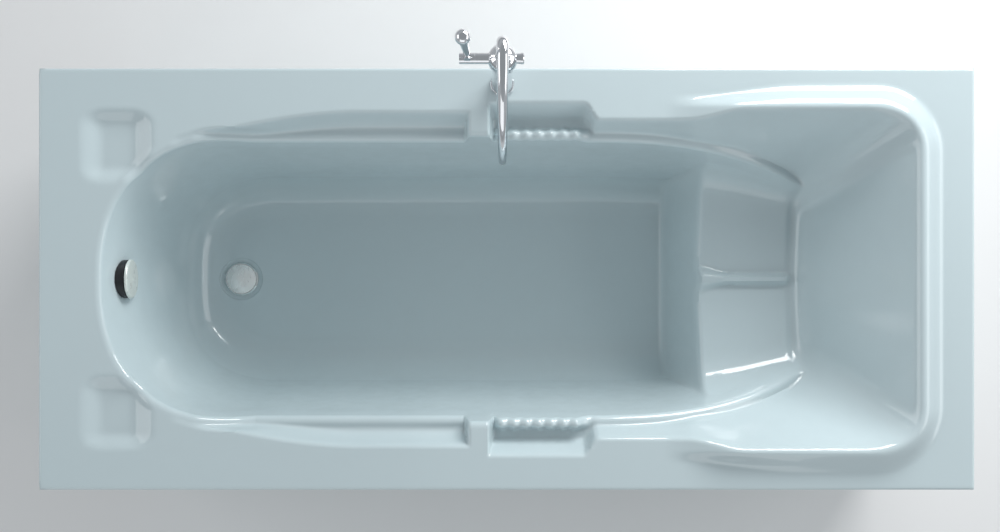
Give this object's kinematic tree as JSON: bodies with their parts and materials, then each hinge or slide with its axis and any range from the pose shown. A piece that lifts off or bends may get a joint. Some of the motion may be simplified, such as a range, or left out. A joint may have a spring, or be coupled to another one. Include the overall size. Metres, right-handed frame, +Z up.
{
  "type": "bathtub",
  "caption": "Rectangular acrylic bath with moulded seat, arm rests, ribbed hand grips, soap dishes, pop-up waste, turning overflow cap, rim mixer tap, steel frame and aprons.",
  "frame": {"origin": "on the floor under the middle of the rim", "axes": "+X along the bath towards the seat end, +Y towards the tap side, +Z up"},
  "size_m": [1.7, 0.766, 0.937],
  "materials": {
    "acrylic": "white sanitary acrylic with a polished surface and a cool tint",
    "acrylic_panel": "the same acrylic in flat sheets, slightly less polished",
    "board": "particle board, sealed with resin",
    "batten_wood": "planed softwood",
    "frame_steel": "grey powder coat on square steel tube",
    "zinc_steel": "zinc-plated steel",
    "fastener_steel": "zinc-plated fasteners with a faint yellow passivation",
    "pad_rubber": "black rubber pads",
    "white_plastic": "white polypropylene with a fine moulded grain",
    "grey_plastic": "light grey polypropylene pipe",
    "black_plastic": "black moulded plastic",
    "seal_rubber": "dark sealing rubber",
    "chrome_trim": "bright chrome plating on the waste and overflow",
    "chrome_tap": "bright chrome plating on the tap",
    "stainless": "drawn stainless steel",
    "tap_brass": "plain machined brass under the rim"
  },
  "bodies": {
    "tub": {"tub_shell": "acrylic", "base_board": "board", "seat_board": "board", "batten_front": "batten_wood", "batten_back": "batten_wood", "batten_left": "batten_wood", "batten_right": "batten_wood", "rail_front": "frame_steel", "rail_back": "frame_steel", "cross_foot_end": "frame_steel", "cross_seat_end": "frame_steel", "posts": "frame_steel", "seat_prop": "frame_steel", "top_brackets": "zinc_steel", "bracket_screws": "fastener_steel", "foot_nuts": "fastener_steel", "panel_front": "acrylic_panel", "panel_back": "acrylic_panel", "panel_left": "acrylic_panel", "panel_right": "acrylic_panel", "panel_clips": "zinc_steel", "corner_blocks": "batten_wood", "drain_flange": "chrome_trim", "drain_seal": "seal_rubber", "waste_body": "white_plastic", "waste_gasket": "seal_rubber", "trap": "white_plastic", "slip_nuts": "white_plastic", "outlet_pipe": "white_plastic", "overflow_face": "black_plastic", "overflow_gasket": "seal_rubber", "overflow_body": "white_plastic", "overflow_pipe": "grey_plastic", "pull_cable": "black_plastic", "tap_base": "chrome_tap", "tap_gasket": "seal_rubber", "tap_body": "chrome_tap", "tap_end_cap": "chrome_tap", "tap_shank": "tap_brass", "tap_washer": "seal_rubber", "tap_nut": "tap_brass", "tap_tails": "tap_brass"},
    "overflow_knob": {"overflow_cap": "chrome_trim", "overflow_spindle": "stainless"},
    "plug": {"plug_cap": "chrome_trim", "plug_seal": "seal_rubber", "plug_stem": "stainless"},
    "spout": {"tap_spout": "chrome_tap", "tap_aerator": "stainless"},
    "hub": {"lever_hub": "chrome_tap"},
    "handle": {"lever": "chrome_tap", "lever_ball": "chrome_tap"},
    "foot_1": {"foot_rod_1": "zinc_steel", "foot_pad_1": "pad_rubber"},
    "foot_2": {"foot_rod_2": "zinc_steel", "foot_pad_2": "pad_rubber"},
    "foot_3": {"foot_rod_3": "zinc_steel", "foot_pad_3": "pad_rubber"},
    "foot_4": {"foot_rod_4": "zinc_steel", "foot_pad_4": "pad_rubber"}
  },
  "joints": [
    {"name": "overflow_turn", "type": "hinge", "parent": "tub", "child": "overflow_knob", "pos_m": [-0.72036, 0, 0.485], "axis": [1, 0, 0], "range_deg": [0, 120]},
    {"name": "plug_lift", "type": "slide", "parent": "tub", "child": "plug", "axis": [0, 0, 1], "range_m": [0, 0.012]},
    {"name": "spout_swivel", "type": "hinge", "parent": "tub", "child": "spout", "pos_m": [-0.008, 0.353, 0.853], "axis": [0, 0, 1], "range_deg": [-25, 70]},
    {"name": "lever_turn", "type": "hinge", "parent": "tub", "child": "hub", "pos_m": [-0.064, 0.353, 0.832], "axis": [1, 0, 0], "range_deg": [0, 40]},
    {"name": "lever_tilt", "type": "hinge", "parent": "hub", "child": "handle", "pos_m": [-0.064, 0.35547, 0.84629], "axis": [0, 0.9854, -0.1702], "range_deg": [-22, 3]},
    {"name": "foot_1_level", "type": "slide", "parent": "tub", "child": "foot_1", "axis": [0, 0, 1], "range_m": [-0.015, 0.02]},
    {"name": "foot_2_level", "type": "slide", "parent": "tub", "child": "foot_2", "axis": [0, 0, 1], "range_m": [-0.015, 0.02]},
    {"name": "foot_3_level", "type": "slide", "parent": "tub", "child": "foot_3", "axis": [0, 0, 1], "range_m": [-0.015, 0.02]},
    {"name": "foot_4_level", "type": "slide", "parent": "tub", "child": "foot_4", "axis": [0, 0, 1], "range_m": [-0.015, 0.02]}
  ],
  "couplings": [
    {"joint": "overflow_turn", "follows": "plug_lift", "rad_per_m": 174.5}
  ]
}
